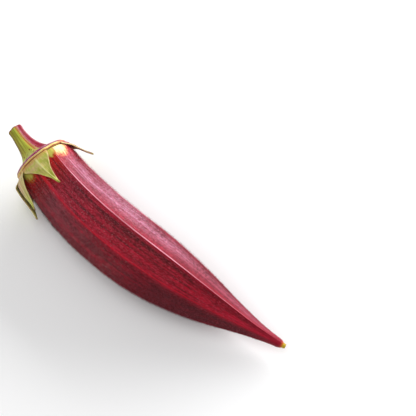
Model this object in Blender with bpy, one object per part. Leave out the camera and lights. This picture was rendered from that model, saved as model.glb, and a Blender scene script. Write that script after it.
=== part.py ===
"""Okra pod, picked and lying on its side: the ridged pod, its cut stem with the cap, five sepals.

The pod's axis is one cubic curve from the calyx to the tip. Every piece is drawn around that axis:
a distance along it from the calyx (negative up the stem), an angle around it from straight up
towards -Y, and a radius. X runs along the pod, from the stem to the tip, and Z is up.
"""
import math

import bmesh
import bpy
from mathutils import Vector

MM = 0.001

# Pod axis: the two ends of a cubic curve, and the two points that pull it into its gentle bend
AXIS_CALYX = Vector((-56.4, 4.3, 14.6)) * MM
AXIS_CALYX_PULL = Vector((-33.9, -0.1, 8.4)) * MM
AXIS_TIP_PULL = Vector((-16.0, -7.9, 17.6)) * MM
AXIS_TIP = Vector((50.1, 4.0, 3.6)) * MM
AXIS_SAMPLES = 240

# Pod: radius over the ridges at each tenth of its length, and the ridges' angles around it
POD_RADII = [r * MM for r in (11.3, 11.6, 12.2, 12.5, 12.6, 12.2, 11.0, 8.9, 6.0, 3.2, 1.4)]
RIDGE_ANGLES = (-62, -12, 34, 90, 152, 207, 253)
POD_TWIST = 5.0            # turn of the ridges from the calyx to the tip, in degrees
UNTWISTED_SHARE = 0.45     # share of the length at which the ridges stand at the angles above
FACET_DIP = 0.095          # how far the middle of a facet lies inside the ridges, over the radius
RIDGE_BLUNTNESS = 0.35     # 0 for a knife edge, 1 for a soft wave
CELLS_PER_FACET = 6
POD_RINGS = 34
TIP_SMOOTHING = 0.06       # share of the length over which the ridges fade out at the tip
# Rounding where the pod's wall turns in under the cap: (distance, share of the radius)
SHOULDER = [(0.0, 0.86), (0.35 * MM, 0.95), (1.4 * MM, 1.0)]
# The dried end of the flower's style: (distance past the end of the axis, radius)
STUB = [(-0.3 * MM, 1.17 * MM), (0.0, 0.9 * MM), (1.2 * MM, 0.72 * MM)]

# Stem and cap, both in millimetres: (height above the calyx plane, radius). The cap starts 0.3 mm
# above that plane, so it stays clear of the pod and of the sepals.
STEM_PROFILE = [
    (0.3, 9.2), (0.35, 10.4), (0.6, 10.95), (1.0, 11.1), (1.5, 11.0), (2.1, 10.6), (2.7, 9.9),
    (3.3, 8.4), (4.0, 6.7), (5.0, 5.3), (6.4, 4.5), (8.0, 3.75), (10.0, 3.15), (12.4, 2.75),
    (15.0, 2.55), (17.1, 2.6), (17.8, 2.2),
]
STEM_NECK_HEIGHT = 5.0      # the cap's cone ends and the five-cornered stem begins here
STEM_SIDES = 30
STEM_CORNERS = 5
STEM_CORNER_HEIGHT = 0.07
STEM_CORNER_ANGLE = 10.0
STEM_OFFSET = 0.8 * MM      # the stem stands a little off the cap's middle, towards this angle
STEM_OFFSET_ANGLE = 113.0

# Sepals: the angle around the pod, the swing of the tip to one side, and how far the base reaches
# to each side, in degrees; then the length, the belly of the base and the lift of the tip off the
# pod, in millimetres. Between the last sepal and the first the pod's shoulder stays bare.
SEPALS = [
    (20.0, -8.0, 24.0, 34.0, 15.6, 0.3, 0.8),
    (75.0, 4.5, 19.0, 17.0, 13.8, 0.8, 1.0),
    (114.0, -3.0, 20.0, 38.0, 13.4, 1.9, 0.9),
    (206.0, 16.0, 50.0, 48.0, 12.0, 0.0, 0.3),
    (289.0, 16.5, 31.0, 29.0, 12.2, 0.4, 4.3),
]
SEPAL_BELLY_SHARE = 0.2     # share of the length over which the base swells to its full belly
SEPAL_THICKNESS = 0.7 * MM
SEPAL_TIP_THICKNESS = 0.35 * MM
SEPAL_CLEARANCE = 0.45 * MM   # between a sepal and the pod's ridges
SEPAL_TUCK = 0.7 * MM         # how far the base tucks in behind the pod's rounded shoulder
SEPAL_EDGE_THINNING = 0.35
SEPAL_BAND = 0.1            # share of the length over which the sepals run side by side
SEPAL_POINT_WIDTH = 0.068   # widths as shares of the base's
SEPAL_TIP_WIDTH = 0.012
SEPAL_ROWS = 10
SEPAL_COLUMNS = 8

# How the pod settles on a flat surface: a turn about X and a turn about Y, in degrees
SETTLE_ROLL = 0.78
SETTLE_PITCH = -1.32


def clear_scene():
    for thing in list(bpy.data.objects):
        bpy.data.objects.remove(thing)


def make_material(name, colour, roughness):
    material = bpy.data.materials.new(name)
    material.use_nodes = True
    shader = material.node_tree.nodes["Principled BSDF"]
    shader.inputs["Base Color"].default_value = (*colour, 1.0)
    shader.inputs["Roughness"].default_value = roughness
    shader.inputs["Metallic"].default_value = 0.0
    return material


def axis_point(t):
    s = 1.0 - t
    return (AXIS_CALYX * s ** 3 + AXIS_CALYX_PULL * 3 * s * s * t
            + AXIS_TIP_PULL * 3 * s * t * t + AXIS_TIP * t ** 3)


def measure_axis():
    """Points along the axis, and the distance from the calyx to each."""
    points = [axis_point(i / AXIS_SAMPLES) for i in range(AXIS_SAMPLES + 1)]
    distances = [0.0]
    for before, after in zip(points, points[1:]):
        distances.append(distances[-1] + (after - before).length)
    return points, distances


AXIS_POINTS, AXIS_DISTANCES = measure_axis()
POD_LENGTH = AXIS_DISTANCES[-1]


def axis_frame(distance):
    """Centre, direction, upward and sideways vectors at a distance; straight beyond both ends."""
    inside = min(max(distance, 0.0), POD_LENGTH)
    i = 0
    while i < AXIS_SAMPLES - 1 and AXIS_DISTANCES[i + 1] < inside:
        i += 1
    step = AXIS_POINTS[i + 1] - AXIS_POINTS[i]
    share = (inside - AXIS_DISTANCES[i]) / step.length
    before = AXIS_POINTS[max(i - 1, 0)]
    after = AXIS_POINTS[min(i + 2, AXIS_SAMPLES)]
    along = (after - before).normalized()
    centre = AXIS_POINTS[i] + step * share + along * (distance - inside)
    up = (Vector((0, 0, 1)) - along * along.z).normalized()
    side = along.cross(up)
    return centre, along, up, side


def around_axis(distance, degrees, radius):
    centre, _, up, side = axis_frame(distance)
    turn = math.radians(degrees)
    return centre + (up * math.cos(turn) + side * math.sin(turn)) * radius


def pod_radius(distance):
    """Radius over the ridges: a smooth curve through the values at each tenth of the length."""
    last = len(POD_RADII) - 1
    place = min(max(distance / POD_LENGTH, 0.0), 1.0) * last
    i = min(int(place), last - 1)
    t = place - i
    before = POD_RADII[max(i - 1, 0)]
    here, there = POD_RADII[i], POD_RADII[i + 1]
    after = POD_RADII[min(i + 2, last)]
    slope_here = (there - before) / 2
    slope_there = (after - here) / 2
    return (here * (2 * t ** 3 - 3 * t * t + 1) + slope_here * (t ** 3 - 2 * t * t + t)
            + there * (3 * t * t - 2 * t ** 3) + slope_there * (t ** 3 - t * t))


def facet_dip(distance, share):
    """Share of the radius lost between two ridges; it fades out at the rounded tip."""
    fade = min(1.0, (POD_LENGTH - distance) / (TIP_SMOOTHING * POD_LENGTH))
    flat = 4 * share * (1 - share)
    wave = (1 - math.cos(2 * math.pi * share)) / 2
    return FACET_DIP * fade * ((1 - RIDGE_BLUNTNESS) * flat + RIDGE_BLUNTNESS * wave)


def section_angles():
    """Every section's points: (angle, share of the way from one ridge to the next)."""
    points = []
    for i, start in enumerate(RIDGE_ANGLES):
        end = RIDGE_ANGLES[(i + 1) % len(RIDGE_ANGLES)]
        if end < start:
            end += 360
        for j in range(CELLS_PER_FACET):
            share = j / CELLS_PER_FACET
            points.append((start + (end - start) * share, share))
    return points


def loft(name, rings, material):
    """One closed body through rings of points, each ring going the same way round."""
    shape = bmesh.new()
    loops = [[shape.verts.new(point) for point in ring] for ring in rings]
    count = len(loops[0])
    for low, high in zip(loops, loops[1:]):
        for i in range(count):
            j = (i + 1) % count
            shape.faces.new((low[i], low[j], high[j], high[i]))
    shape.faces.new(list(reversed(loops[0])))
    shape.faces.new(loops[-1])
    bmesh.ops.recalc_face_normals(shape, faces=shape.faces)
    return add_object(name, shape, material)


def add_object(name, shape, material):
    mesh = bpy.data.meshes.new(name)
    shape.to_mesh(mesh)
    shape.free()
    mesh.shade_smooth()
    mesh.set_sharp_from_angle(angle=math.radians(40))
    mesh.materials.append(material)
    thing = bpy.data.objects.new(name, mesh)
    bpy.context.scene.collection.objects.link(thing)
    return thing


def make_pod():
    angles = section_angles()

    def ring(distance, scale):
        radius = pod_radius(distance) * scale
        twist = POD_TWIST * (distance / POD_LENGTH - UNTWISTED_SHARE)
        return [around_axis(distance, angle + twist, radius * (1 - facet_dip(distance, share)))
                for angle, share in angles]

    rings = [ring(distance, scale) for distance, scale in SHOULDER]
    start = SHOULDER[-1][0]
    for i in range(1, POD_RINGS):
        rings.append(ring(start + (POD_LENGTH - start) * i / POD_RINGS, 1.0))
    for past_end, radius in STUB:
        rings.append([around_axis(POD_LENGTH + past_end, angle, radius) for angle, _ in angles])
    return loft("pod", rings, make_material("pod_skin", (0.24, 0.012, 0.03), 0.5))


def make_stem():
    """The cap over the pod's end, its rim, and the five-cornered stem that it flares into."""
    rings = []
    for height, radius in STEM_PROFILE:
        share = min(1.0, height / STEM_NECK_HEIGHT)
        corners = STEM_CORNER_HEIGHT * share ** 2
        middle = around_axis(-height * MM, STEM_OFFSET_ANGLE, STEM_OFFSET * share)
        shift = middle - around_axis(-height * MM, 0.0, 0.0)
        ring = []
        for i in range(STEM_SIDES):
            angle = 360 * i / STEM_SIDES
            wave = math.cos(math.radians(STEM_CORNERS * (angle - STEM_CORNER_ANGLE)))
            ring.append(around_axis(-height * MM, angle, radius * MM * (1 + corners * wave)) + shift)
        rings.append(ring)
    return loft("stem", rings, make_material("stem_green", (0.36, 0.42, 0.10), 0.55))


def sepal_width(along):
    """Width at a share of the length, 1 at the base: a lobe with hollow sides and a long point."""
    narrowing = max(0.0, along - SEPAL_BAND) / (1 - SEPAL_BAND)
    lobe = (1 - narrowing) ** 1.5
    point = 1 - narrowing ** 4
    return (1 - SEPAL_POINT_WIDTH - SEPAL_TIP_WIDTH) * lobe + SEPAL_POINT_WIDTH * point + SEPAL_TIP_WIDTH


def make_sepal(number, material):
    """A pointed lobe that hangs from under the cap's rim, over the pod's shoulder."""
    angle, swing, reach_before, reach_after, length, belly, lift = SEPALS[number]

    def point(row, column, outer):
        along = row / SEPAL_ROWS
        across = 2 * column / SEPAL_COLUMNS - 1
        reach = reach_before if across < 0 else reach_after
        degrees = angle + swing * along ** 1.5 + reach * sepal_width(along) * across
        distance = length * MM * along
        curl = (lift * along ** 2 + belly * min(1.0, along / SEPAL_BELLY_SHARE)) * MM
        thickness = SEPAL_THICKNESS + (SEPAL_TIP_THICKNESS - SEPAL_THICKNESS) * along
        rim = 1 - SEPAL_EDGE_THINNING * across * across
        radius = pod_radius(distance) + SEPAL_CLEARANCE + curl
        if row == 0:
            radius -= SEPAL_TUCK
        if outer:
            radius += thickness * rim
        return around_axis(distance, degrees, radius)

    rings = []
    for row in range(SEPAL_ROWS + 1):
        inner = [point(row, column, False) for column in range(SEPAL_COLUMNS + 1)]
        outer = [point(row, column, True) for column in range(SEPAL_COLUMNS + 1)]
        rings.append(inner + outer[::-1])
    return loft(f"sepal_{number + 1}", rings, material)


def settle(pieces):
    """Turn the pod to where it rests, and set it on Z = 0, centred over the origin."""
    rest = bpy.data.objects.new("rest", None)
    bpy.context.scene.collection.objects.link(rest)
    rest.rotation_euler = (math.radians(SETTLE_ROLL), math.radians(SETTLE_PITCH), 0)
    turn = rest.rotation_euler.to_matrix()
    points = [turn @ v.co for piece in pieces for v in piece.data.vertices]
    low = Vector([min(p[k] for p in points) for k in range(3)])
    high = Vector([max(p[k] for p in points) for k in range(3)])
    rest.location = (-(low.x + high.x) / 2, -(low.y + high.y) / 2, -low.z)
    for piece in pieces:
        piece.parent = rest


def main():
    clear_scene()
    pieces = [make_pod(), make_stem()]
    sepal_green = make_material("sepal_green", (0.42, 0.42, 0.16), 0.6)
    pieces += [make_sepal(number, sepal_green) for number in range(len(SEPALS))]
    settle(pieces)


main()
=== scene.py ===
"""Finish of a burgundy okra pod lying on its side: skin, hairs, stem with its cap, and sepals.

Every piece is modelled straight along X, the calyx at X = 0 and the tip at POD_LENGTH, and a
curve then bends it onto the pod's axis. Angles around the pod count from straight up towards -Y.
Lengths are in millimetres until MM makes metres of them, and angles are in degrees.
"""
import math

import bpy
import numpy as np
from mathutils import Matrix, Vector


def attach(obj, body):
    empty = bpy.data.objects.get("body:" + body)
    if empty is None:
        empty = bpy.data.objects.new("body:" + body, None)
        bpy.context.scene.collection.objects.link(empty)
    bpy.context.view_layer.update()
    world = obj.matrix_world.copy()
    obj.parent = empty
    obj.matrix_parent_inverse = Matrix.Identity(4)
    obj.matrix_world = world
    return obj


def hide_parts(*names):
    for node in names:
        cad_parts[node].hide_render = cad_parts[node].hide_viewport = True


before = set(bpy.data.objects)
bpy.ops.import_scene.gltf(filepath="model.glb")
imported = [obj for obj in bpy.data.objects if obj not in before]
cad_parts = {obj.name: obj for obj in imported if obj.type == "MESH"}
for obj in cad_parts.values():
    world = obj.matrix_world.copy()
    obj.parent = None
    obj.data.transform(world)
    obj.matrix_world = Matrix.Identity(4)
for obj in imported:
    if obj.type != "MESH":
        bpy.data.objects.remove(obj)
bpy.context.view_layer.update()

MM = 0.001
TABLE_GAP = 0.02 * MM       # nothing comes nearer to the table's top than this

# Axis of the pod: a cubic curve from the calyx to the tip, and the points that pull it
AXIS_CALYX = Vector((-45.09, 3.49, 13.26)) * MM
AXIS_CALYX_PULL = Vector((-22.45, -0.83, 7.53)) * MM
AXIS_TIP_PULL = Vector((-4.77, -8.75, 17.03)) * MM
AXIS_TIP = Vector((61.63, 3.34, 4.72)) * MM
POD_LENGTH = 108.3

# Pod: radius over the ridges at each tenth of the length, and the ridges' angles
POD_RADII = (11.3, 11.6, 12.2, 12.5, 12.6, 12.2, 11.0, 8.9, 6.0, 3.2, 1.4)
RIDGE_ANGLES = (-61.2, -11.2, 32.8, 90.8, 152.8, 207.8, 253.8)
RIDGE_REDNESS = (0.25, 0.85, 1.0, 0.30, 0.60, 0.50, 0.60)
# Patches against the calyx: angle, reach along, spread around, strength
CREAM_PATCHES = ((-30, 7.4, 29, 1.0), (154, 5.0, 16, 0.7), (255, 5.0, 16, 0.7))
MOSS_PATCHES = ((52, 8.5, 34, 1.0), (-8, 5.6, 17, 1.0), (95, 7.0, 24, 0.8), (160, 7, 20, 0.8),
                (257, 7, 20, 0.8))
POD_TWIST = 8.0
UNTWISTED_SHARE = 0.45          # share of the length at which the ridges stand at their own angles
SHOULDER_ROUNDNESS = 0.85       # how far the ridges fade out under the cap, 0 to 1
SHOULDER_REACH = 9.0
TIP_ROUND_START = 7.0           # before the tip the ridges start to fade at this distance
TIP_ROUND_REACH = 6.0
ROUND_SHARE = 0.985             # radius of the ridgeless section, as a share of the ridges' own
# The pod swells up to the cap's rim between the first sepal and the last
SWELL = 0.3 * MM
SWELL_ANGLE = -25.0
SWELL_SPREAD = 38.0
SWELL_REACH = 6.5
# Section of one facet: (share of the way to the next ridge, share of the radius)
FACET = ((0.0, 1.006), (0.035, 0.993), (0.09, 0.967), (0.25, 0.922), (0.5, 0.900),
         (0.75, 0.922), (0.91, 0.967), (0.965, 0.993))
# Shoulder under the cap: (distance from the calyx, share of the radius)
POD_SHOULDER = ((-0.50, 0.90), (-0.40, 0.945), (0.0, 0.97), (0.9, 0.985), (2.0, 0.995))
BODY_START = 3.4
BODY_STATIONS = 56
BODY_END = 2.6                  # this far before the tip
# Tip with the dried end of the style: (distance past the pod's length, radius)
POD_TIP = ((-1.5, 1.6), (-0.7, 1.35), (-0.3, 1.2), (-0.1, 0.95), (0.3, 0.86), (0.9, 0.82),
           (1.15, 0.66))
# Fine lengthwise ribs: (how many go round, phase, drift along), and their depth
FINE_RIBS = ((19, 0.3, 21.0), (29, 1.9, -33.0), (43, 4.0, 47.0), (61, 2.2, -26.0))
FINE_RIB_DEPTH = 0.016
SKIN_BUMPS = ((14, 0.30), (3, 0.08))    # soft unevenness: (size, height)
SKIN_GRAIN_RADIUS = 12          # the skin's pattern is laid out at this radius all along

# Sepals. "reach" is how far the base spreads to each side, in degrees: towards smaller angles,
# then towards larger ones. "band" is the share of the length that keeps that width, and "hollow"
# how quickly the sides then draw in. Lifts are in millimetres off the pod; blush runs 0 to 1.
SEPALS = (
    dict(angle=20, swing=-8.0, length=16.0, base_lift=0.70, tip_lift=0.8, free_from=0.25,
         reach=(25, 35), band=(0.05, 0.11), hollow=(1.6, 2.6), blush=0.55, curl=2.0),
    dict(angle=75, swing=4.5, length=14.0, base_lift=1.35, tip_lift=1.0, free_from=0.16,
         reach=(20, 18), band=(0.20, 0.12), hollow=(1.2, 1.1), blush=0.90, curl=2.0),
    dict(angle=114, swing=-3.0, length=13.6, base_lift=2.45, tip_lift=0.9, free_from=0.11,
         reach=(21, 39), band=(0.14, 0.10), hollow=(1.3, 1.6), blush=0.40, curl=2.0),
    dict(angle=206, swing=16.0, length=12.2, base_lift=0.55, tip_lift=0.4, free_from=0.12,
         reach=(51, 49), band=(0.08, 0.08), hollow=(1.6, 1.6), blush=0.45, curl=2.0),
    dict(angle=289, swing=16.5, length=12.0, base_lift=0.42, tip_lift=4.5, free_from=0.22,
         reach=(32, 30), band=(0.05, 0.02), hollow=(2.3, 4.2), blush=1.0, curl=1.50),
)
SEPAL_ROWS, SEPAL_COLUMNS = 20, 12
SEPAL_THICKNESS = 0.38
SEPAL_KEEL = 0.34           # height of the midrib
SEPAL_HOLLOW = 0.22         # depth between the midrib and the edge
SEPAL_EDGE = 0.40           # how far the edge turns up
SEPAL_RIPPLE = 0.20
SEPAL_PATTERN_STEP = 7.0    # keeps the pattern of one sepal from repeating on the next
SEPAL_START = -0.62     # the sepals come out from under the cap's rim, level with its lower line
SEPAL_START_RADIUS = 11.15

# One batch of hairs on each half of the pod: count, seed, greatest length and usual radius
HAIRS = dict(
    upper=dict(count=17000, seed=4, length=0.95, radius=0.018),
    lower=dict(count=19000, seed=40, length=1.25, radius=0.027),
)
HAIR_BATCHES = 3
HAIR_ROOT_DEPTH = 0.03
HAIR_START = 1.5            # hairs start this far past the skin's edge under the cap
HAIR_CLEAR = (2.0, 9.0)     # few hairs nearer to the calyx than the first, all past the second
HAIR_CLEARED = 0.80
HAIR_END = (94.0, 106.0)    # towards the tip they thin out again between these distances
HAIR_ENDED = 0.97
HAIR_WORN = 0.75            # how bare the facet that faces up most has been rubbed, 0 to 1
HAIR_WORN_ANGLE = 14.0
HAIR_THIN = 0.6             # and how bare the middle of the facet beside it is
HAIR_THIN_ANGLE = -36.0
HAIR_LIMIT = 16.45 * MM     # no hair stands further to either side of the part's middle

CAMERA_TARGET = Vector((12.42, 25.94, 12.0)) * MM
CAMERA_DISTANCE = 287.26 * MM
CAMERA_ELEVATION = math.radians(62.06)
CAMERA_AZIMUTH = math.radians(37.98)
CAMERA_LENS = 70.0
WORLD_LIGHT = 0.44


# ---------------------------------------------------------------- modelling by hand

def pick_nothing():
    if bpy.context.object and bpy.context.object.mode == "EDIT":
        bpy.ops.object.mode_set(mode="OBJECT")
    bpy.ops.object.select_all(action="DESELECT")


def work_on(piece):
    pick_nothing()
    piece.select_set(True)
    bpy.context.view_layer.objects.active = piece


def pick_vertices(piece, wanted):
    """Select, in edit mode, the vertices whose places pass a test."""
    work_on(piece)
    bpy.ops.object.mode_set(mode="EDIT")
    bpy.ops.mesh.select_mode(type="VERT")
    bpy.ops.mesh.select_all(action="DESELECT")
    bpy.ops.object.mode_set(mode="OBJECT")
    for vertex in piece.data.vertices:
        vertex.select = wanted(vertex.co)
    bpy.ops.object.mode_set(mode="EDIT")


def new_ring(name, sides, radius, x):
    """An open ring of vertices around the X axis."""
    pick_nothing()
    bpy.ops.mesh.primitive_circle_add(vertices=sides, radius=radius, fill_type="NOTHING",
                                      location=(x, 0, 0), rotation=(0, math.pi / 2, 0))
    ring = bpy.context.object
    ring.name = name
    bpy.ops.object.transform_apply(location=True, rotation=True, scale=True)
    return ring


def shape_ring(ring, places):
    """Move each vertex of a ring to its own place; places are in the ring's order."""
    for number, place in enumerate(places):
        bpy.ops.object.mode_set(mode="EDIT")
        bpy.ops.mesh.select_all(action="DESELECT")
        bpy.ops.object.mode_set(mode="OBJECT")
        vertex = ring.data.vertices[number]
        vertex.select = True
        move = Vector(place) - vertex.co
        bpy.ops.object.mode_set(mode="EDIT")
        bpy.ops.transform.translate(value=move)
        bpy.ops.object.mode_set(mode="OBJECT")


def sweep(ring, stations, closing_sizes=(0.62, 0.25)):
    """Extrude the open ring from station to station, (x, radius, y, z), and close both ends.

    Each end is closed by smaller rings, the last one merged into one point."""
    work_on(ring)
    bpy.ops.object.mode_set(mode="EDIT")
    bpy.ops.mesh.select_all(action="SELECT")
    for before, after in zip(stations, stations[1:]):
        step = Vector((after[0] - before[0], after[2] - before[2], after[3] - before[3]))
        bpy.ops.mesh.extrude_region_move(TRANSFORM_OT_translate={"value": step})
        size = after[1] / before[1]
        bpy.ops.transform.resize(value=(1, size, size), center_override=(after[0], after[2], after[3]))
    bpy.ops.object.mode_set(mode="OBJECT")
    for x, _, y, z in (stations[0], stations[-1]):
        pick_vertices(ring, lambda co: abs(co.x - x) < 1e-7)
        for size in closing_sizes:
            bpy.ops.mesh.extrude_region_move()
            bpy.ops.transform.resize(value=(1, size, size), center_override=(x, y, z))
        bpy.ops.mesh.merge(type="CENTER")
        bpy.ops.object.mode_set(mode="OBJECT")


def face_outwards(piece):
    work_on(piece)
    bpy.ops.object.mode_set(mode="EDIT")
    bpy.ops.mesh.select_all(action="SELECT")
    bpy.ops.mesh.normals_make_consistent(inside=False)
    bpy.ops.object.mode_set(mode="OBJECT")


def number_in_order(piece):
    """Number vertices and faces by their places, so that every run counts them alike.

    The operators leave them in an order that varies, and the hairs draw faces by number."""
    spots = places(piece)
    x, y, z = spots.T
    radius, turn = np.hypot(y, z), np.arctan2(-y, z)
    order = np.lexsort((radius.round(7), turn.round(5), radius > 0.001 * MM, x.round(7)))
    number = np.argsort(order)
    faces = []
    for face in piece.data.polygons:
        corners = number[list(face.vertices)].tolist()
        first = corners.index(min(corners))
        faces.append(corners[first:] + corners[:first])
    piece.data.clear_geometry()
    piece.data.from_pydata(spots[order].tolist(), [], sorted(faces))


def add_and_apply(piece, kind, **settings):
    work_on(piece)
    modifier = piece.modifiers.new(kind.lower(), kind)
    for name, value in settings.items():
        setattr(modifier, name, value)
    bpy.ops.object.modifier_apply(modifier=modifier.name)


def smooth_by_subdivision(piece, levels):
    add_and_apply(piece, "SUBSURF", levels=levels, render_levels=levels)


def roughen(piece, bumps):
    """Soft unevenness of a surface, one layer for each size and height of bumps."""
    for size, height in bumps:
        texture = bpy.data.textures.new(f"{piece.name}_bumps", "CLOUDS")
        texture.noise_scale = size * MM
        add_and_apply(piece, "DISPLACE", texture=texture, strength=height * MM, mid_level=0.5)


def read(items, name, kind=np.float32, width=1):
    """One value, or one vector, of every item of a mesh."""
    out = np.empty(len(items) * width, kind)
    items.foreach_get(name, out)
    return out.reshape(-1, width) if width > 1 else out


def places(piece):
    return read(piece.data.vertices, "co", width=3).astype(float)


def move_to(piece, coordinates):
    piece.data.vertices.foreach_set("co", np.asarray(coordinates, np.float32).ravel())
    piece.data.update()


def note(piece, name, values):
    """Store a value or a vector at every vertex, for the materials to read."""
    values = np.asarray(values, np.float32)
    kind = "FLOAT_VECTOR" if values.ndim == 2 else "FLOAT"
    layer = piece.data.attributes.new(name, kind, "POINT")
    layer.data.foreach_set("vector" if values.ndim == 2 else "value", values.ravel())


def make_axis():
    curve = bpy.data.curves.new("axis", "CURVE")
    curve.dimensions = "3D"
    curve.twist_mode = "Z_UP"
    curve.resolution_u = 128
    spline = curve.splines.new("BEZIER")
    spline.bezier_points.add(1)
    start, end = spline.bezier_points
    for point in (start, end):
        point.handle_left_type = "FREE"
        point.handle_right_type = "FREE"
    start.co, start.handle_right = AXIS_CALYX, AXIS_CALYX_PULL
    start.handle_left = AXIS_CALYX * 2 - AXIS_CALYX_PULL
    end.co, end.handle_left = AXIS_TIP, AXIS_TIP_PULL
    end.handle_right = AXIS_TIP * 2 - AXIS_TIP_PULL
    axis = bpy.data.objects.new("axis", curve)
    bpy.context.scene.collection.objects.link(axis)
    return axis


def bend_onto(axis, piece):
    add_and_apply(piece, "CURVE", object=axis, deform_axis="POS_X")
    bent = places(piece)
    bent[:, 2] = np.maximum(bent[:, 2], TABLE_GAP)
    move_to(piece, bent)


def smooth_rows(values, place):
    """A smooth curve through evenly spaced values, read at a share of the way along them."""
    last = len(values) - 1
    place = np.clip(place, 0, 1) * last
    i = np.minimum(place.astype(int), last - 1)
    t = place - i
    values = np.asarray(values, float)
    here, there = values[i], values[i + 1]
    slope_here = (there - values[np.maximum(i - 1, 0)]) / 2
    slope_there = (values[np.minimum(i + 2, last)] - here) / 2
    return (here * (2 * t ** 3 - 3 * t * t + 1) + slope_here * (t ** 3 - 2 * t * t + t)
            + there * (3 * t * t - 2 * t ** 3) + slope_there * (t ** 3 - t * t))


def pod_radius(x):
    """Radius over the ridges, in millimetres, at a distance from the calyx."""
    return smooth_rows(POD_RADII, np.asarray(x, float) / POD_LENGTH)


def on_section(degrees, radius, x=0.0):
    """A place at an angle around the X axis, a radius off it and a distance along it."""
    turn = math.radians(degrees)
    return (x, -radius * math.sin(turn), radius * math.cos(turn))


def around_axis(x, radius, turn):
    """The same for many places at once, with the angles in radians, a row for each place."""
    return np.stack([x, -radius * np.sin(turn), radius * np.cos(turn)], 1)


def bump_at(value, centre, width):
    """1 at the centre, falling smoothly to 0 at the width to either side."""
    t = np.clip(1 - np.abs(value - centre) / width, 0, 1)
    return t * t * (3 - 2 * t)


def step_up(value, start, end):
    """0 at the start, rising smoothly to 1 at the end."""
    t = np.clip((value - start) / (end - start), 0, 1)
    return t * t * (3 - 2 * t)


def angle_away(angle, centre):
    """Difference between two angles, from -180 to 180."""
    return (angle - centre + 180) % 360 - 180


def facing(angle, centre, spread):
    """1 on the side that faces the centre angle, falling to 0 at the spread to either side."""
    return bump_at(angle_away(angle, centre), 0, spread)


def draw_fine_ribs(piece, depth):
    """Raise fine lengthwise ribs that come and go along the pod."""
    x, y, z = places(piece).T
    angle, radius = np.arctan2(-y, z), np.hypot(y, z)
    rise = np.zeros_like(x)
    for count, phase, drift in FINE_RIBS:
        coming_and_going = 0.5 + 0.5 * np.sin(drift * 3 * x + phase * 5 + 2 * np.sin(3 * angle + phase))
        rise += np.sin(count * angle + phase + drift * x) * coming_and_going
    radius = radius + rise * depth * np.clip(radius / (6 * MM), 0, 1)
    move_to(piece, around_axis(x, radius, angle))


def note_pod_places(pod):
    """Note where each vertex is, how much each tint of the skin shows there, and where painted shade and
    painted sheen go, 0 to 1.
    """
    x, y, z = (places(pod) / MM).T
    angle = np.degrees(np.arctan2(-y, z))
    note(pod, "grain", around_axis(x, SKIN_GRAIN_RADIUS, np.radians(angle)))
    untwisted = angle - POD_TWIST * (x / POD_LENGTH - UNTWISTED_SHARE)
    ridges = np.array(RIDGE_ANGLES)
    ends = np.append(ridges[1:], ridges[0] + 360)
    turned = ridges[0] + (untwisted - ridges[0]) % 360
    facet = np.clip(np.searchsorted(ends, turned), 0, len(ridges) - 1)
    share = (turned - ridges[facet]) / (ends[facet] - ridges[facet])
    from_ridge = 1 - np.abs(1 - 2 * share)
    nearest = np.where(share < 0.5, facet, (facet + 1) % len(ridges))
    redness = np.array(RIDGE_REDNESS)[nearest]
    note(pod, "section", np.stack([x / POD_LENGTH, from_ridge, redness], 1))

    tipward = step_up(x, 45, 75)
    # Blushed: the facet that faces the back light, partly a real blush and partly painted sheen
    blushed = step_up(angle_away(untwisted, -9), 0, -3.5) * step_up(angle_away(untwisted, -98), 0, 38)
    blushed = (blushed + 0.5 * facing(untwisted, 180, 40)) * (1 - 0.60 * step_up(x, 25, 80))
    # Pale: where the painted sheen lies, on the facet that faces up and towards the back light
    pale = facing(untwisted, -35 - 9 * step_up(x, 8, 40), 31)
    pale *= (1 - 0.72 * step_up(x, 40, 80)) * step_up(x, 0, 8)
    # The sides that face away from the lights, where painted shade darkens the skin
    shaded_side = facing(untwisted, 52, 30) * (1 - 0.4 * tipward) + 0.8 * facing(untwisted, 225, 50)
    crimson = (facing(untwisted, 18, 25) * (0.60 + 0.40 * tipward)
               + 0.9 * facing(untwisted, 76, 15) * step_up(x, 8, 30) * (1 - tipward)
               + 0.5 * facing(untwisted, -20, 13))
    # Painted shade: a dark band beside the upward ridge, the lower sides, and a dark line along the far
    # upper side towards the tip
    shade = (facing(untwisted, 98, 26) + facing(untwisted, 66, 44) * tipward
             + 1.6 * facing(untwisted, -74, 29) * step_up(x, 32, 55)
             + 0.22 * facing(untwisted, -1, 9) * step_up(x, 20, 45))
    note(pod, "tints", np.stack([blushed, shaded_side, patches(x, angle, CREAM_PATCHES)], 1))
    note(pod, "patches", np.stack([patches(x, angle, MOSS_PATCHES), pale, crimson], 1))
    note(pod, "shade", np.clip(shade, 0, 1))


def patches(x, angle, patch_list):
    """Soft round patches against the calyx: 1 in the middle of one, 0 away from all."""
    level = sum(size * bump_at(np.hypot((x - 0.2) / reach, angle_away(angle, centre) / spread), 0, 1)
                for centre, reach, spread, size in patch_list)
    return np.clip(level, 0, 1)


# ---------------------------------------------------------------- the pieces

def pod_section():
    """Once around the pod, (angle, share of the radius), facet by facet."""
    section = []
    for start, end in zip(RIDGE_ANGLES, RIDGE_ANGLES[1:] + (RIDGE_ANGLES[0] + 360,)):
        section += [(start + (end - start) * share, size) for share, size in FACET]
    return section


def pod_profile():
    """Along the pod, (distance from the calyx, radius), from under the cap to the tip."""
    along = [x for x, _ in POD_SHOULDER]
    along += list(np.linspace(BODY_START, POD_LENGTH - BODY_END, BODY_STATIONS))
    radii = [float(pod_radius(x)) for x in along]
    for i, (_, share) in enumerate(POD_SHOULDER):
        radii[i] *= share
    return list(zip(along, radii)) + [(POD_LENGTH + past, radius) for past, radius in POD_TIP]


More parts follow.
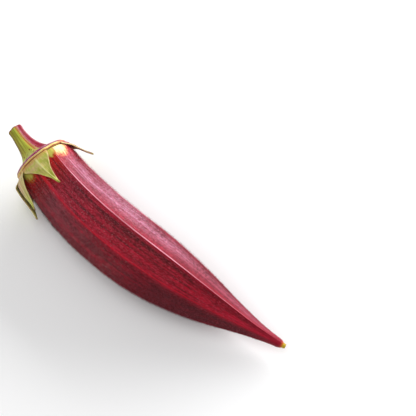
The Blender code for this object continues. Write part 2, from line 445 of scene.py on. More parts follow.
def make_pod(axis):
    section = pod_section()
    stations = [(x * MM, radius * MM, 0, 0) for x, radius in pod_profile()]
    start, start_radius = stations[0][:2]
    pod = new_ring("pod_skin", len(section), start_radius, start)
    shape_ring(pod, [on_section(angle, start_radius * size, start) for angle, size in section])
    sweep(pod, stations)
    face_outwards(pod)
    number_in_order(pod)
    twist_and_round_tip(pod)
    smooth_by_subdivision(pod, 2)
    draw_fine_ribs(pod, FINE_RIB_DEPTH * MM)
    roughen(pod, SKIN_BUMPS)
    note_pod_places(pod)
    bend_onto(axis, pod)
    finish_piece(pod, skin_material(), ["pod"])
    return pod


def twist_and_round_tip(pod):
    """Turn the ridges a little along the pod, and fade them out at the tip."""
    x, y, z = places(pod).T
    radius = np.hypot(y, z)
    angle = np.arctan2(-y, z)
    swell = facing(np.degrees(angle), SWELL_ANGLE, SWELL_SPREAD) * bump_at(x / MM, 0.5, SWELL_REACH)
    radius += SWELL * swell * np.clip(radius / (8 * MM), 0, 1)
    angle += np.radians(POD_TWIST) * (x / MM / POD_LENGTH - UNTWISTED_SHARE)
    round_radius = np.zeros_like(radius)
    for value in np.unique(x.round(8)):
        row = np.abs(x - value) < 1e-8
        round_radius[row] = radius[row].max() * ROUND_SHARE
    fade = np.clip((x / MM - (POD_LENGTH - TIP_ROUND_START)) / TIP_ROUND_REACH, 0, 1)
    fade = np.maximum(fade, SHOULDER_ROUNDNESS * bump_at(x / MM, 0, SHOULDER_REACH))
    closes_an_end = radius < round_radius * 0.7
    radius = np.where(closes_an_end, radius, radius + (round_radius - radius) * fade)
    move_to(pod, around_axis(x, radius, angle))


# Cap and stem: (height above the calyx, radius). The cap's rim carries two thin raised lines.
STEM_PROFILE = (
    (0.60, 9.7), (0.56, 10.4), (0.61, 10.75), (0.74, 10.95), (0.88, 10.99), (1.00, 10.88),
    (1.14, 10.81), (1.28, 10.85), (1.42, 10.94), (1.58, 10.95), (1.72, 10.83), (1.90, 10.66),
    (2.12, 10.52), (2.36, 10.34), (2.62, 10.04), (2.86, 9.62), (3.08, 9.04), (3.30, 8.36),
    (3.56, 7.62), (3.86, 6.92), (4.22, 6.28), (4.66, 5.68), (5.3, 5.08), (6.2, 4.52),
    (7.3, 4.02), (8.6, 3.56), (10.2, 3.20), (11.8, 2.92), (13.2, 2.74), (14.4, 2.64),
    (15.4, 2.60), (16.2, 2.64), (16.8, 2.68), (17.2, 2.62), (17.5, 2.42), (17.7, 2.08), (17.8, 1.62),
)
STEM_SIDES = 40
STEM_NECK = 5.0       # the cap's cone ends and the five-cornered stem begins at this height
STEM_OFFSET = 0.80    # how far the stem's middle stands off the pod's axis
STEM_OFFSET_ANGLE = 113.8
STEM_BOW = 0.40       # and how much further half-way up, where it bows
STEM_BOW_HEIGHT = 11.0
STEM_BOW_REACH = 8.0
STEM_CORNER_ANGLE = 10.8
STEM_CORNER_HEIGHT = 0.075      # corners and ribs are shares of the radius
STEM_RIB_HEIGHT = 0.010
STEM_BUMPS = ((3, 0.12),)
STEM_GRAIN_RADIUS = 6
CAP_EDGE = 6          # the cap is out of round where its radius is more than this


def stem_offset(height):
    """How far the stem's middle stands off the pod's axis at a height above the calyx."""
    height = np.asarray(height, float)
    bow = STEM_BOW * bump_at(height, STEM_BOW_HEIGHT, STEM_BOW_REACH)
    return STEM_OFFSET * np.clip(height / STEM_NECK, 0, 1) + bow


def make_stem(axis):
    _, offset_y, offset_z = on_section(STEM_OFFSET_ANGLE, 1.0)
    stations = []
    for height, radius in STEM_PROFILE:
        off = float(stem_offset(height)) * MM
        stations.append((-height * MM, radius * MM, offset_y * off, offset_z * off))
    stem = new_ring("stem_green", STEM_SIDES, stations[0][1], stations[0][0])
    sweep(stem, stations)
    face_outwards(stem)
    number_in_order(stem)
    smooth_by_subdivision(stem, 2)
    x, y, z = places(stem).T / MM
    middle_y, middle_z = offset_y * stem_offset(-x), offset_z * stem_offset(-x)
    radius = np.hypot(y - middle_y, z - middle_z)
    angle = np.arctan2(-(y - middle_y), z - middle_z)
    up_the_neck = np.clip(-x / STEM_NECK, 0, 1)
    corner = np.cos(5 * (angle - math.radians(STEM_CORNER_ANGLE)))
    ribs = np.cos(17 * angle + 1.3) * 0.4 + np.cos(29 * angle + 0.4) * 0.3
    out_of_round = 0.012 * np.cos(7 * angle + 1.0) + 0.008 * np.cos(13 * angle)
    size = 1 + up_the_neck ** 2 * (STEM_CORNER_HEIGHT * corner + STEM_RIB_HEIGHT * ribs)
    size += (1 - up_the_neck) * out_of_round * (radius > CAP_EDGE)
    wave = (1 - up_the_neck) * (0.12 * np.cos(5 * angle + 0.6) + 0.08 * np.cos(11 * angle + 2.0))
    wave *= np.clip(radius / 12, 0, 1) ** 3
    shaped = around_axis(x + wave, radius * size, angle)
    shaped += np.stack([np.zeros_like(x), middle_y, middle_z], 1)
    move_to(stem, shaped * MM)
    roughen(stem, STEM_BUMPS)

    degrees = np.degrees(angle)
    note(stem, "grain", around_axis(x, STEM_GRAIN_RADIUS, angle))
    note(stem, "section", np.stack([-x, radius, facing(degrees, -62, 36)], 1))
    rust = facing(degrees, 88, 44) + 0.6 * facing(degrees, 50, 10)
    note(stem, "tints", np.stack([facing(degrees, -40, 44), facing(degrees, -3, 9), rust], 1))
    bend_onto(axis, stem)
    finish_piece(stem, stem_material(), ["stem"])


def sepal_width(along, band, hollow):
    """Width at a share of the length, 1 at the base: hollow sides that end in a long point."""
    narrowing = np.clip((along - band) / (1 - band), 0, 1)
    return 0.905 * (1 - narrowing) ** hollow + 0.08 * (1 - narrowing ** 4) + 0.015


def make_sepal(number, axis):
    """A pointed lobe: a flat sheet wrapped around to its outline and keel, then thickened."""
    form = SEPALS[number]
    length = form["length"]
    pick_nothing()
    bpy.ops.mesh.primitive_grid_add(x_subdivisions=SEPAL_ROWS, y_subdivisions=SEPAL_COLUMNS, size=1)
    sepal = bpy.context.object
    sepal.name = f"sepal_{number + 1}_leaf"
    bpy.ops.transform.resize(value=(length * MM, 2 * MM, 1))
    bpy.ops.transform.translate(value=(length * MM / 2, 0, 0))
    bpy.ops.object.transform_apply(location=True, rotation=True, scale=True)
    flat = places(sepal)
    along = np.clip(flat[:, 0] / (length * MM), 0, 1)
    across = flat[:, 1] / MM
    side = (across > 0).astype(int)
    band, hollow, reach = (np.array(form[key])[side] for key in ("band", "hollow", "reach"))
    width = sepal_width(along, band, hollow)
    phase = 1.7 * number
    ragged = 1 + 0.05 * np.sin(9 * along + phase + 2 * side)
    degrees = form["angle"] + form["swing"] * along ** 1.5 + reach * ragged * width * across
    away = np.abs(across)
    keel = SEPAL_KEEL * np.exp(-(across / 0.10) ** 2) * (1 - along) ** 0.5
    hollow_side = -SEPAL_HOLLOW * np.sin(np.pi * away) * (1 - along)
    ripple = SEPAL_RIPPLE * np.sin(7 * along + 3 * across + phase) * away * along
    edge = SEPAL_EDGE * away ** 3 * np.sin(np.pi * np.clip(along * 1.2, 0, 1))
    x = SEPAL_START + (length - SEPAL_START) * along
    lift = form["base_lift"] + form["tip_lift"] * along ** form["curl"]
    leaving = step_up(along, 0, form["free_from"])
    free_radius = pod_radius(x) + lift + keel + hollow_side + ripple + edge
    radius = SEPAL_START_RADIUS + (free_radius - SEPAL_START_RADIUS) * leaving
    turn = np.radians(degrees)
    move_to(sepal, around_axis(x, radius, turn) * MM)
    note(sepal, "leaf", np.stack([along, across, np.full_like(x, form["blush"])], 1))
    own_pattern = np.full_like(x, number * SEPAL_PATTERN_STEP)
    note(sepal, "grain", np.stack([x, SKIN_GRAIN_RADIUS * turn, own_pattern], 1))
    face_outwards(sepal)
    outward = sum(p.normal.dot(Vector((0, p.center.y, p.center.z))) for p in sepal.data.polygons)
    if outward < 0:
        sepal.data.flip_normals()
    add_and_apply(sepal, "SOLIDIFY", thickness=SEPAL_THICKNESS * MM, offset=0.6, use_even_offset=True)
    smooth_by_subdivision(sepal, 2)
    bend_onto(axis, sepal)
    finish_piece(sepal, sepal_material(), [f"sepal_{number + 1}"])


def hair_chances(pod, half, place, area, grain):
    """How likely each face of the pod is to carry a hair, on its upper or its lower half."""
    angle = np.degrees(np.arctan2(-grain[:, 1], grain[:, 2]))
    past_cap = place[:, 0] > places(pod)[:, 0].min() + HAIR_START * MM
    on_half = (place[:, 2] > axis_height(place[:, 0])) == (half == "upper")
    worn = HAIR_WORN * step_up(np.abs(angle_away(angle, HAIR_WORN_ANGLE)), 34, 22)
    worn += HAIR_THIN * facing(angle, HAIR_THIN_ANGLE, 26)
    bare = HAIR_CLEARED * step_up(grain[:, 0], HAIR_CLEAR[1], HAIR_CLEAR[0])
    bare += HAIR_ENDED * step_up(grain[:, 0], *HAIR_END)
    weight = area * (past_cap & on_half) * (1 - np.clip(worn, 0, 0.9)) * (1 - bare)
    return weight / weight.sum()


def hair_mesh(name, rings, tips, across, forward):
    """Three-sided spikes that rise through two rings, each (middles, widths), to a point."""
    points = []
    for middles, widths in rings:
        for k in range(3):
            turn = 2 * math.pi * k / 3
            points.append(middles + (across * math.cos(turn) + forward * math.sin(turn)) * widths)
    points.append(tips)
    vertices = np.stack(points, 1).reshape(-1, 3)
    vertices[:, 2] = np.maximum(vertices[:, 2], TABLE_GAP)
    pattern = [(0, 1, 2)]
    for k in range(3):
        j = (k + 1) % 3
        pattern += [(k, 3 + j, j), (k, 3 + k, 3 + j), (3 + k, 6, 3 + j)]
    first = np.arange(len(tips))[:, None, None] * len(points)
    mesh = bpy.data.meshes.new(name)
    mesh.from_pydata(vertices.tolist(), [], (first + np.array(pattern)).reshape(-1, 3).tolist())
    return mesh, len(points)


def grow_hairs(batch, pod, half, material):
    """Fine tapering hairs over the upper or the lower half of the pod."""
    form = HAIRS[half]
    count = form["count"]
    rng = np.random.default_rng(form["seed"] + batch)
    mesh = pod.data
    centre = read(mesh.polygons, "center", width=3).astype(float)
    normal = read(mesh.polygons, "normal", width=3).astype(float)
    corner = read(mesh.polygons, "loop_start", np.int32)
    on_corner = read(mesh.loops, "vertex_index", np.int32)
    grain = read(mesh.attributes["grain"].data, "vector", width=3)[on_corner[corner]]
    chances = hair_chances(pod, half, centre, read(mesh.polygons, "area"), grain)
    chosen = rng.choice(len(mesh.polygons), size=count, p=chances)
    up = normal[chosen]
    distance = grain[chosen, 0]

    # Root at a chance place on the face, between its four corners
    around = places(pod)[on_corner[corner[chosen][:, None] + np.arange(4)]]
    u, v = rng.random((2, count, 1))
    root = ((around[:, 0] * (1 - u) + around[:, 1] * u) * (1 - v)
            + (around[:, 3] * (1 - u) + around[:, 2] * u) * v)
    across = np.cross(up, [1.0, 0.0, 0.0])
    across /= np.linalg.norm(across, axis=1)[:, None]
    forward = np.cross(across, up)
    lean = forward * rng.normal(0.55, 0.30, (count, 1)) + across * rng.normal(0, 0.45, (count, 1))
    direction = up + lean
    direction /= np.linalg.norm(direction, axis=1)[:, None]
    size = form["length"] * MM * rng.uniform(0.35, 1.0, (count, 1))
    size *= 1 - 0.5 * step_up(distance[:, None], 70, 100)
    tip = root + direction * size
    tip[:, 1] = np.clip(tip[:, 1], -HAIR_LIMIT, HAIR_LIMIT)
    middle = (root + tip) / 2 + up * size * 0.08
    thick = form["radius"] * MM * rng.uniform(0.7, 1.2, (count, 1))
    rings = ((root - up * HAIR_ROOT_DEPTH * MM, thick), (middle, thick * 0.7))

    name = f"pod_hairs_{half}_{batch + 1}"
    hairs_mesh, points_each = hair_mesh(name, rings, tip, across, forward)
    hairs = bpy.data.objects.new(name, hairs_mesh)
    bpy.context.scene.collection.objects.link(hairs)
    # Each hair's lightness varies at random; the pale hairs stand for hairs lit from behind, a painted
    # highlight, and towards the tip they darken with painted shade
    palest = 1.0 if half == "upper" else step_up(distance, 30, 10)
    shade = rng.uniform(0.5 * palest, 1.0, count) * (1 - 0.6 * step_up(distance, 45, 70))
    note(hairs, "shade", np.repeat(shade, points_each))
    finish_piece(hairs, material, [])


def axis_height(x):
    """Height of the pod's axis, roughly, from how far along X a point is."""
    share = np.clip((x - AXIS_CALYX.x) / (AXIS_TIP.x - AXIS_CALYX.x), 0, 1)
    return AXIS_CALYX.z + (AXIS_TIP.z - AXIS_CALYX.z) * share


def finish_piece(piece, material, nodes):
    work_on(piece)
    bpy.ops.object.shade_smooth()
    piece.data.materials.clear()
    piece.data.materials.append(material)
    if nodes:
        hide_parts(*nodes)
    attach(piece, "root")


# ---------------------------------------------------------------- materials

def tone(red, green, blue):
    """A colour from its everyday 0-255 values."""
    values = []
    for value in (red, green, blue):
        share = value / 255
        values.append(share / 12.92 if share <= 0.04045 else ((share + 0.055) / 1.055) ** 2.4)
    return (*values, 1.0)


class Recipe:
    """A material's nodes, added and joined one at a time."""

    def __init__(self, name, roughness, **settings):
        self.material = bpy.data.materials.new(name)
        self.material.use_nodes = True
        self.tree = self.material.node_tree
        self.shader = self.tree.nodes["Principled BSDF"]
        self.shader.inputs["Roughness"].default_value = roughness
        self.painted = None
        for key, value in settings.items():
            self.shader.inputs[key.replace("_", " ")].default_value = value

    def add(self, kind, settings=None, **inputs):
        node = self.tree.nodes.new(kind)
        for key, value in (settings or {}).items():
            setattr(node, key, value)
        for key, value in inputs.items():
            self.join(value, node.inputs[key.replace("_", " ")])
        return node

    def join(self, value, socket):
        if hasattr(value, "is_output"):
            self.tree.links.new(value, socket)
        else:
            socket.default_value = value

    def noted(self, name):
        return self.add("ShaderNodeAttribute", {"attribute_name": name})

    def parts(self, name):
        split = self.add("ShaderNodeSeparateXYZ", Vector=self.noted(name).outputs["Vector"])
        return split.outputs["X"], split.outputs["Y"], split.outputs["Z"]

    def noise(self, vector, *fineness, detail=3.0):
        """Soft patches from 0 to 1, so many to a unit of length along each direction."""
        mapping = self.add("ShaderNodeMapping", Vector=vector, Scale=fineness)
        node = self.add("ShaderNodeTexNoise", Vector=mapping.outputs["Vector"], Scale=1.0, Detail=detail)
        node.inputs["Roughness"].default_value = 0.55
        return node.outputs["Fac"]

    def dots(self, vector, fineness):
        """Distance to the middle of the nearest dot."""
        mapping = self.add("ShaderNodeMapping", Vector=vector, Scale=[fineness] * 3)
        node = self.add("ShaderNodeTexVoronoi", Vector=mapping.outputs["Vector"], Scale=1.0)
        return node.outputs["Distance"]

    def maths(self, kind, *values):
        node = self.add("ShaderNodeMath", {"operation": kind})
        for number, value in enumerate(values):
            self.join(value, node.inputs[number])
        return node.outputs["Value"]

    def near(self, value, centre, width):
        """1 where a value is at the centre, falling to 0 at the width to either side."""
        away = self.maths("ABSOLUTE", self.maths("SUBTRACT", value, centre))
        return self.ramp(away, 0.0, width, 1.0, 0.0)

    def ramp(self, value, start, end, low=0.0, high=1.0):
        node = self.add("ShaderNodeMapRange", {"interpolation_type": "SMOOTHSTEP"}, Value=value)
        node.inputs["From Min"].default_value = start
        node.inputs["From Max"].default_value = end
        node.inputs["To Min"].default_value = low
        node.inputs["To Max"].default_value = high
        return node.outputs["Result"]

    def uneven(self, value, pattern, height):
        """The value, higher and lower where a pattern is above and below a half."""
        wave = self.maths("MULTIPLY", self.maths("SUBTRACT", pattern, 0.5), height)
        return self.maths("ADD", value, wave)

    def times(self, *values):
        out = values[0]
        for value in values[1:]:
            out = self.maths("MULTIPLY", out, value)
        return out

    def mix(self, share, first, second):
        node = self.add("ShaderNodeMix", {"data_type": "RGBA"})
        self.join(share, node.inputs["Factor"])
        self.join(first, node.inputs[6])
        self.join(second, node.inputs[7])
        return node.outputs[2]

    def colour(self, value):
        self.painted = value
        self.join(value, self.shader.inputs["Base Color"])

    def paint(self, value, *shares):
        """Lay a colour over what is there, as much of it as the shares multiplied say."""
        self.colour(self.mix(self.times(*shares), self.painted, value))

    def relief(self, *layers):
        """Bumps on the surface, each (height pattern, depth in millimetres)."""
        normal = None
        for height, depth in layers:
            bump = self.add("ShaderNodeBump", Height=height, Distance=depth * MM)
            bump.inputs["Strength"].default_value = 1.0
            if normal is not None:
                self.join(normal, bump.inputs["Normal"])
            normal = bump.outputs["Normal"]
        self.join(normal, self.shader.inputs["Normal"])


def skin_material():
    skin = Recipe("burgundy_skin", 0.40, Sheen_Weight=0.08, Sheen_Roughness=0.35,
                  Sheen_Tint=(0.95, 0.66, 0.78, 1.0), Specular_IOR_Level=0.09)
    grain = skin.noted("grain").outputs["Vector"]
    along, from_ridge, redness = skin.parts("section")
    blushed, shaded_side, cream_side = skin.parts("tints")
    moss, pale, crimson = skin.parts("patches")
    shade = skin.noted("shade").outputs["Fac"]
    unblushed = skin.maths("SUBTRACT", 1.0, skin.maths("MULTIPLY", blushed, 0.75))
    dust = skin.noise(grain, 1.1, 3.1, 3.1, detail=2.0)
    broad = skin.noise(grain, 0.012, 0.42, 0.42)
    fine = skin.noise(grain, 0.035, 1.7, 1.7, detail=4.0)
    streak = skin.noise(grain, 0.05, 0.85, 0.85)
    thread = skin.noise(grain, 0.09, 4.6, 4.6)
    blotch = skin.noise(grain, 0.10, 0.20, 0.20)
    mottle = skin.noise(grain, 0.9, 1.1, 1.1)
    speck = skin.dots(grain, 1.7)

    # Dark red ground, with crimson sides, painted shade on the sides away from the lights, and
    # lengthwise streaks
    skin.colour(skin.mix(skin.ramp(broad, 0.34, 0.64), tone(80, 1, 14), tone(134, 3, 30)))
    skin.paint(tone(156, 4, 34), crimson, skin.ramp(broad, 0.30, 0.60, 0.50, 0.95))
    skin.paint(tone(92, 10, 22), shaded_side, 0.60)
    # Painted sheen, mauve, on the shaded sides near the calyx
    painted_side_sheen = skin.times(shaded_side, skin.ramp(along, 0.44, 0.14), skin.ramp(mottle, 0.30, 0.62, 0.45, 1.0))
    skin.paint(tone(172, 80, 92), painted_side_sheen, 0.90)
    skin.paint(tone(174, 8, 44), skin.ramp(streak, 0.50, 0.68, 0.0, 0.75))
    skin.paint(tone(60, 1, 10), skin.ramp(streak, 0.50, 0.32, 0.0, 0.85), unblushed)
    skin.paint(tone(176, 14, 46), skin.ramp(fine, 0.50, 0.72, 0.0, 0.40))
    skin.paint(tone(54, 1, 10), skin.ramp(fine, 0.50, 0.34, 0.0, 0.65), unblushed)
    skin.paint(tone(70, 8, 20), skin.ramp(blotch, 0.48, 0.68, 0.0, 0.55), unblushed)
    # Painted shade, darkest where the shade value is highest
    skin.paint(tone(48, 3, 10), shade, skin.ramp(mottle, 0.25, 0.60, 0.55, 0.80))
    # The blush, partly a real colour and partly painted sheen from the back light
    skin.paint(tone(164, 26, 60), blushed, skin.ramp(streak, 0.30, 0.60, 0.45, 0.90))
    bloom = skin.times(skin.ramp(along, 0.50, 0.08), skin.ramp(mottle, 0.30, 0.62, 0.3, 1.0), unblushed)
    skin.paint(tone(206, 128, 150), bloom, 0.10)

    # Painted sheen, mauve, on the facets that face the back light, broken by threads, and mottling and
    # dust all over
    lines = skin.ramp(skin.maths("ADD", thread, skin.maths("MULTIPLY", fine, 0.8)), 0.78, 1.02)
    painted_sheen = skin.times(pale, skin.ramp(streak, 0.34, 0.58, 0.45, 1.0))
    painted_sheen = skin.times(painted_sheen, skin.ramp(mottle, 0.32, 0.60, 0.45, 1.0))
    painted_sheen = skin.times(painted_sheen, skin.maths("MULTIPLY_ADD", lines, 0.45, 0.65), skin.ramp(shade, 0.8, 0.0))
    skin.paint(tone(204, 152, 182), painted_sheen)
    skin.paint(tone(120, 10, 38), skin.ramp(lines, 0.35, 0.0, 0.0, 0.45), blushed)
    skin.paint(tone(184, 24, 52), skin.ramp(mottle, 0.52, 0.66, 0.0, 0.20))
    skin.paint(tone(58, 1, 10), skin.ramp(mottle, 0.48, 0.34, 0.0, 0.34))
    skin.paint(tone(200, 76, 94), skin.ramp(dust, 0.51, 0.68, 0.0, 0.32))
    skin.paint(tone(56, 1, 10), skin.ramp(dust, 0.49, 0.32, 0.0, 0.55))

    # Ridges: a red glow, a bright line along the top, and a painted pink highlight along the ridge top
    # where the skin is blushed
    red_ridge = skin.times(skin.ramp(blushed, 0.7, 0.1), redness)
    glow = skin.times(skin.ramp(from_ridge, 0.38, 0.04), skin.ramp(streak, 0.30, 0.56, 0.35, 1.0))
    skin.paint(tone(164, 4, 40), glow, red_ridge, 0.50)
    line = skin.times(skin.ramp(from_ridge, 0.050, 0.008), skin.ramp(fine, 0.30, 0.54, 0.20, 1.0))
    skin.paint(tone(196, 20, 42), line, red_ridge, 0.80)
    # Painted highlight: a pale pink line along the top of the ridge that faces the back light
    painted_crest_highlight = skin.times(skin.ramp(from_ridge, 0.058, 0.010), skin.ramp(blushed, 0.06, 0.30))
    painted_crest_highlight = skin.times(painted_crest_highlight, skin.ramp(fine, 0.30, 0.54, 0.30, 1.0))
    painted_crest_highlight = skin.times(painted_crest_highlight, skin.ramp(along, 0.85, 0.50, 0.5, 1.0))
    skin.paint(tone(242, 172, 190), painted_crest_highlight, 0.95)

    # Next to the cap: scarlet shoulder, dark veins, and patches of cream and of moss green
    shoulder = skin.times(skin.ramp(along, 0.16, 0.02), skin.ramp(broad, 0.20, 0.50, 0.55, 1.0))
    shoulder = skin.times(shoulder, skin.ramp(blushed, 0.5, 0.0, 0.45, 1.0))
    skin.paint(tone(194, 24, 12), shoulder, 0.85)
    dark_vein = skin.times(skin.ramp(along, 0.22, 0.06), skin.ramp(streak, 0.52, 0.40), unblushed)
    skin.paint(tone(96, 6, 8), dark_vein, 0.75)
    cream = skin.uneven(skin.uneven(cream_side, mottle, 0.8), fine, 0.8)
    cream = skin.times(cream, skin.ramp(cream_side, 0.02, 0.25))
    skin.paint(tone(222, 96, 80), skin.ramp(cream, -0.05, 0.45, 0.0, 0.80))
    skin.paint(tone(240, 184, 124), skin.ramp(cream, 0.10, 0.62, 0.0, 0.85))
    skin.paint(tone(255, 244, 180), skin.ramp(cream, 0.34, 0.90))
    greened = skin.times(skin.uneven(moss, mottle, 0.9), skin.ramp(moss, 0.02, 0.30))
    skin.paint(tone(164, 92, 30), skin.ramp(greened, 0.08, 0.42, 0.0, 0.70))
    skin.paint(tone(190, 188, 84), skin.ramp(greened, 0.30, 0.72, 0.0, 0.92))

    # Pale specks, and the tip with the dried end of the style
    skin.paint(tone(148, 14, 40), skin.ramp(along, 0.86, 0.99, 0.0, 0.60))
    skin.paint(tone(204, 130, 132), skin.ramp(speck, 0.17, 0.05, 0.0, 0.22))
    skin.paint(tone(186, 78, 40), skin.ramp(along, 0.990, 0.998))
    skin.paint(tone(190, 160, 44), skin.ramp(along, 0.997, 1.003))

    skin.join(skin.ramp(fine, 0.3, 0.7, 0.46, 0.34), skin.shader.inputs["Roughness"])
    skin.relief((broad, 0.10), (fine, 0.08), (thread, 0.02), (dust, 0.03), (speck, 0.02))
    return skin.material


def stem_material():
    stem = Recipe("stem_skin", 0.42, Sheen_Weight=0.05, Sheen_Roughness=0.4,
                  Sheen_Tint=(1.0, 0.95, 0.85, 1.0), Specular_IOR_Level=0.15)
    grain = stem.noted("grain").outputs["Vector"]
    height, radius, sky_side = stem.parts("section")
    blush_side, crimson_side, rust_side = stem.parts("tints")
    streak = stem.noise(grain, 0.10, 1.3, 1.3)
    thread = stem.noise(grain, 0.22, 4.0, 4.0)
    patch = stem.noise(grain, 0.5, 0.5, 0.5)
    dots = stem.dots(grain, 0.75)

    # Yellow-green stem, paler above the cap, with a crimson, a mauve and a rusty side, and a painted
    # highlight down the mauve side
    stem.colour(stem.mix(stem.ramp(streak, 0.35, 0.65), tone(140, 146, 34), tone(196, 196, 78)))
    stem.paint(tone(118, 116, 24), stem.ramp(thread, 0.60, 0.40, 0.0, 0.25))
    base = stem.ramp(height, 7.0, 3.2)
    stem.paint(tone(190, 200, 116), base, 0.45)
    veins = stem.times(stem.ramp(thread, 0.50, 0.62), base)
    stem.paint(tone(222, 222, 160), veins, 0.40)
    blush = stem.times(stem.ramp(blush_side, 0.05, 0.55), stem.ramp(height, 2.2, 3.2))
    stem.paint(tone(132, 6, 40), blush, stem.ramp(streak, 0.25, 0.5, 0.85, 1.0))
    # Painted highlight: a pale pink line down the mauve side, which faces the back light
    painted_highlight_line = stem.times(stem.near(blush_side, 0.62, 0.34), stem.ramp(thread, 0.35, 0.60))
    stem.paint(tone(214, 150, 168), painted_highlight_line, stem.ramp(height, 5.0, 8.0), 0.55)
    crimson = stem.times(crimson_side, stem.ramp(height, 3.4, 5.5))
    stem.paint(tone(148, 2, 26), crimson, 0.90)
    rust = stem.times(rust_side, stem.ramp(streak, 0.32, 0.54, 0.60, 1.0), stem.ramp(height, 4.5, 9.0))
    stem.paint(tone(112, 62, 36), rust, 0.95)

    # Bands around the cap, which wander a little: bloom, mauve flare, a painted pale purple highlight,
    # pale edge, rim, lower line
    level = stem.uneven(height, patch, 0.9)
    bloom = stem.times(stem.near(level, 3.10, 0.40), stem.ramp(radius, 7.5, 8.6))
    bloom = stem.times(bloom, stem.ramp(thread, 0.3, 0.6))
    stem.paint(tone(214, 190, 150), bloom, 0.50)
    flare = stem.times(stem.ramp(level, 1.60, 1.85), stem.ramp(level, 3.30, 2.85))
    flare = stem.times(flare, stem.ramp(radius, 8.0, 9.2), stem.ramp(patch, 0.22, 0.45, 0.75, 1.0))
    stem.paint(tone(138, 30, 70), flare)
    # Painted highlight: a pale purple band on the cap's flare
    painted_lilac_highlight = stem.times(stem.near(level, 2.45, 0.34), stem.ramp(thread, 0.35, 0.60))
    stem.paint(tone(206, 150, 172), painted_lilac_highlight, 0.70)
    pale_edge = stem.times(stem.near(level, 1.66, 0.16), stem.ramp(radius, 10.0, 10.5))
    stem.paint(tone(240, 214, 176), pale_edge, 0.90)
    rim = stem.times(stem.near(level, 1.28, 0.38), stem.ramp(radius, 10.2, 10.6))
    rim_colour = stem.mix(stem.ramp(patch, 0.35, 0.60), tone(220, 156, 84), tone(236, 208, 124))
    stem.paint(rim_colour, rim)
    lower_line = stem.times(stem.near(level, 0.82, 0.40), stem.ramp(radius, 9.6, 10.6))
    stem.paint(tone(142, 14, 36), lower_line)
    ring_end = stem.times(stem.ramp(sky_side, 0.1, 0.8), stem.ramp(level, 1.0, 1.25))
    ring_end = stem.times(ring_end, stem.ramp(level, 3.0, 2.6))
    stem.paint(tone(172, 30, 56), ring_end, 0.75)

    # Red spots on the cone, and the cut end with its rim and pith
    spots = stem.times(stem.ramp(dots, 0.30, 0.20), stem.ramp(height, 3.6, 4.4))
    spots = stem.times(spots, stem.ramp(height, 8.4, 6.6))
    stem.paint(tone(120, 16, 20), spots, 0.9)
    cut_edge = stem.times(stem.ramp(height, 16.9, 17.35), stem.ramp(radius, 1.7, 2.1))
    stem.paint(tone(134, 26, 26), cut_edge, 0.90)
    cut_face = stem.times(stem.ramp(height, 17.5, 17.7), stem.ramp(radius, 2.2, 1.9))
    stem.paint(tone(190, 190, 112), cut_face)
    pith = stem.times(stem.ramp(height, 17.5, 17.7), stem.ramp(radius, 0.9, 0.6))
    stem.paint(tone(226, 222, 180), pith)
    stem.relief((streak, 0.12), (thread, 0.06), (patch, 0.12))
    return stem.material


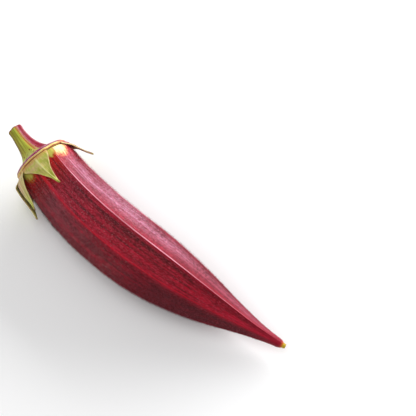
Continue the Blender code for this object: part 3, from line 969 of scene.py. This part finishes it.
def sepal_material():
    leaf = Recipe("sepal_leaf", 0.48, Sheen_Weight=0.08, Sheen_Roughness=0.4,
                  Sheen_Tint=(1.0, 0.97, 0.9, 1.0), Specular_IOR_Level=0.2)
    grain = leaf.noted("grain").outputs["Vector"]
    along, across, blushed = leaf.parts("leaf")
    away = leaf.maths("ABSOLUTE", across)
    streak = leaf.noise(grain, 0.22, 1.2, 1.0)
    thread = leaf.noise(grain, 0.45, 4.2, 1.0)
    patch = leaf.noise(grain, 0.45, 0.45, 0.45)
    most_blushed = leaf.ramp(blushed, 0.92, 0.97)
    least_blushed = leaf.ramp(blushed, 0.97, 0.92)

    # Green ground, then pink and purple where the leaf is blushed
    leaf.colour(leaf.mix(leaf.ramp(streak, 0.30, 0.70), tone(166, 170, 58), tone(206, 206, 100)))
    leaf.paint(tone(122, 130, 40), leaf.ramp(thread, 0.60, 0.40, 0.0, 0.28))
    shaded = leaf.times(leaf.ramp(patch, 0.56, 0.40), leaf.ramp(along, 0.9, 0.4))
    leaf.paint(tone(128, 136, 52), shaded, 0.22)
    pink = leaf.maths("ADD", patch, leaf.maths("MULTIPLY", leaf.ramp(blushed, 0.5, 0.9), 0.22))
    pink = leaf.times(leaf.ramp(pink, 0.36, 0.62), leaf.ramp(along, 0.80, 0.15), blushed)
    pink = leaf.times(pink, leaf.ramp(across, -0.7, 0.3, 0.45, 1.0))
    leaf.paint(tone(208, 160, 142), pink, 0.90)
    purple = leaf.times(leaf.ramp(blushed, 0.90, 1.0), leaf.ramp(across, 0.96, 0.84))
    purple = leaf.times(purple, leaf.ramp(streak, 0.25, 0.55, 0.80, 1.0))
    purple = leaf.times(purple, leaf.ramp(along, 1.0, 0.72, 0.3, 1.0))
    leaf.paint(tone(146, 40, 74), purple, 0.92)

    # Midrib, pale margin with a dark outline, rusty root and dry point
    rib = leaf.times(leaf.ramp(away, 0.10, 0.02), leaf.ramp(along, 1.0, 0.85))
    rib = leaf.times(rib, leaf.ramp(blushed, 1.0, 0.9, 0.45, 1.0))
    leaf.paint(tone(226, 222, 152), rib, 0.75)
    edge = leaf.ramp(away, 0.86, 0.99)
    plain_margin = leaf.times(leaf.ramp(across, 0.3, -0.3, 0.35, 0.8), least_blushed)
    blushed_margin = leaf.times(leaf.ramp(across, 0.3, 0.6), most_blushed)
    margin = leaf.maths("ADD", plain_margin, blushed_margin)
    leaf.paint(tone(232, 220, 150), edge, margin)
    outline = leaf.times(leaf.ramp(away, 0.96, 1.0), leaf.ramp(patch, 0.35, 0.6))
    outline = leaf.times(outline, leaf.ramp(blushed, 0.95, 0.8))
    leaf.paint(tone(150, 54, 60), outline, 0.75)
    root = leaf.times(leaf.ramp(along, 0.12, 0.02), leaf.ramp(patch, 0.30, 0.55, 0.4, 1.0))
    root = leaf.times(root, least_blushed)
    leaf.paint(tone(196, 130, 70), root, 0.6)
    tail = leaf.times(leaf.ramp(along, 0.22, 0.55), most_blushed, leaf.ramp(along, 0.98, 0.88))
    leaf.paint(tone(138, 92, 78), tail, 0.60)
    tip = leaf.times(leaf.ramp(along, 0.88, 1.0), leaf.ramp(blushed, 0.2, 0.8, 0.35, 1.0))
    tip = leaf.times(tip, leaf.ramp(blushed, 0.97, 0.92, 0.4, 1.0))
    leaf.paint(tone(108, 66, 40), tip, 0.9)
    leaf.relief((streak, 0.12), (thread, 0.06))
    return leaf.material


def hair_material(name, dark, pale):
    hair = Recipe(name, 0.60, Specular_IOR_Level=0.1)
    shade = hair.noted("shade").outputs["Fac"]
    hair.colour(hair.mix(hair.ramp(shade, 0.66, 1.00), dark, pale))
    return hair.material


# ---------------------------------------------------------------- floor, light and camera

def make_floor():
    pick_nothing()
    bpy.ops.mesh.primitive_plane_add(size=4.0, location=(0, 0, -TABLE_GAP))
    floor = bpy.context.object
    floor.name = "floor"
    paper = Recipe("pale_floor", 0.75)
    position = paper.add("ShaderNodeTexCoord").outputs["Object"]
    unevenness = paper.noise(position, 6.0, 6.0, 6.0, detail=2.0)
    paper.colour(paper.mix(unevenness, tone(246, 246, 247), tone(250, 250, 250)))
    floor.data.materials.append(paper.material)


def add_softbox(name, place, target, width, height, power):
    light = bpy.data.lights.new(name, "AREA")
    light.shape = "RECTANGLE"
    light.size, light.size_y = width, height
    light.energy = power
    lamp = bpy.data.objects.new(name, light)
    bpy.context.scene.collection.objects.link(lamp)
    lamp.location = place
    lamp.rotation_euler = (Vector(target) - Vector(place)).to_track_quat("-Z", "Y").to_euler()


def set_light():
    world = bpy.data.worlds.new("studio")
    bpy.context.scene.world = world
    world.use_nodes = True
    background = world.node_tree.nodes["Background"]
    background.inputs["Color"].default_value = (1.0, 1.0, 1.0, 1.0)
    background.inputs["Strength"].default_value = WORLD_LIGHT
    add_softbox("back_softbox", (0.10, 0.90, 0.28), (0, 0, 0.03), 1.4, 0.52, 17.4)
    add_softbox("top_softbox", (-0.15, -0.25, 0.95), (0, 0, 0), 0.9, 0.9, 4.1)
    bpy.context.scene.view_settings.view_transform = "Standard"


def set_camera():
    back = Vector((math.sin(CAMERA_AZIMUTH) * math.cos(CAMERA_ELEVATION),
                   -math.cos(CAMERA_AZIMUTH) * math.cos(CAMERA_ELEVATION),
                   math.sin(CAMERA_ELEVATION)))
    camera_data = bpy.data.cameras.new("camera")
    camera_data.lens = CAMERA_LENS
    camera_data.sensor_width = 36.0
    camera_data.clip_start = 0.01
    camera = bpy.data.objects.new("camera", camera_data)
    bpy.context.scene.collection.objects.link(camera)
    camera.location = CAMERA_TARGET + back * CAMERA_DISTANCE
    camera.rotation_euler = (math.pi / 2 - CAMERA_ELEVATION, 0, CAMERA_AZIMUTH)
    bpy.context.scene.camera = camera


def main():
    axis = make_axis()
    pod = make_pod(axis)
    make_stem(axis)
    for number in range(len(SEPALS)):
        make_sepal(number, axis)
    # The upper hairs are painted paler, as if lit, and the lower ones darker, as if shaded
    hair_finishes = dict(
        upper=hair_material("upper_hair_painted_lit", tone(148, 80, 92), tone(232, 198, 196)),
        lower=hair_material("lower_hair_painted_shaded", tone(54, 18, 20), tone(214, 166, 158)),
    )
    for batch in range(HAIR_BATCHES):
        for half in HAIRS:
            grow_hairs(batch, pod, half, hair_finishes[half])
    bpy.data.objects.remove(axis)
    make_floor()
    set_light()
    set_camera()


main()
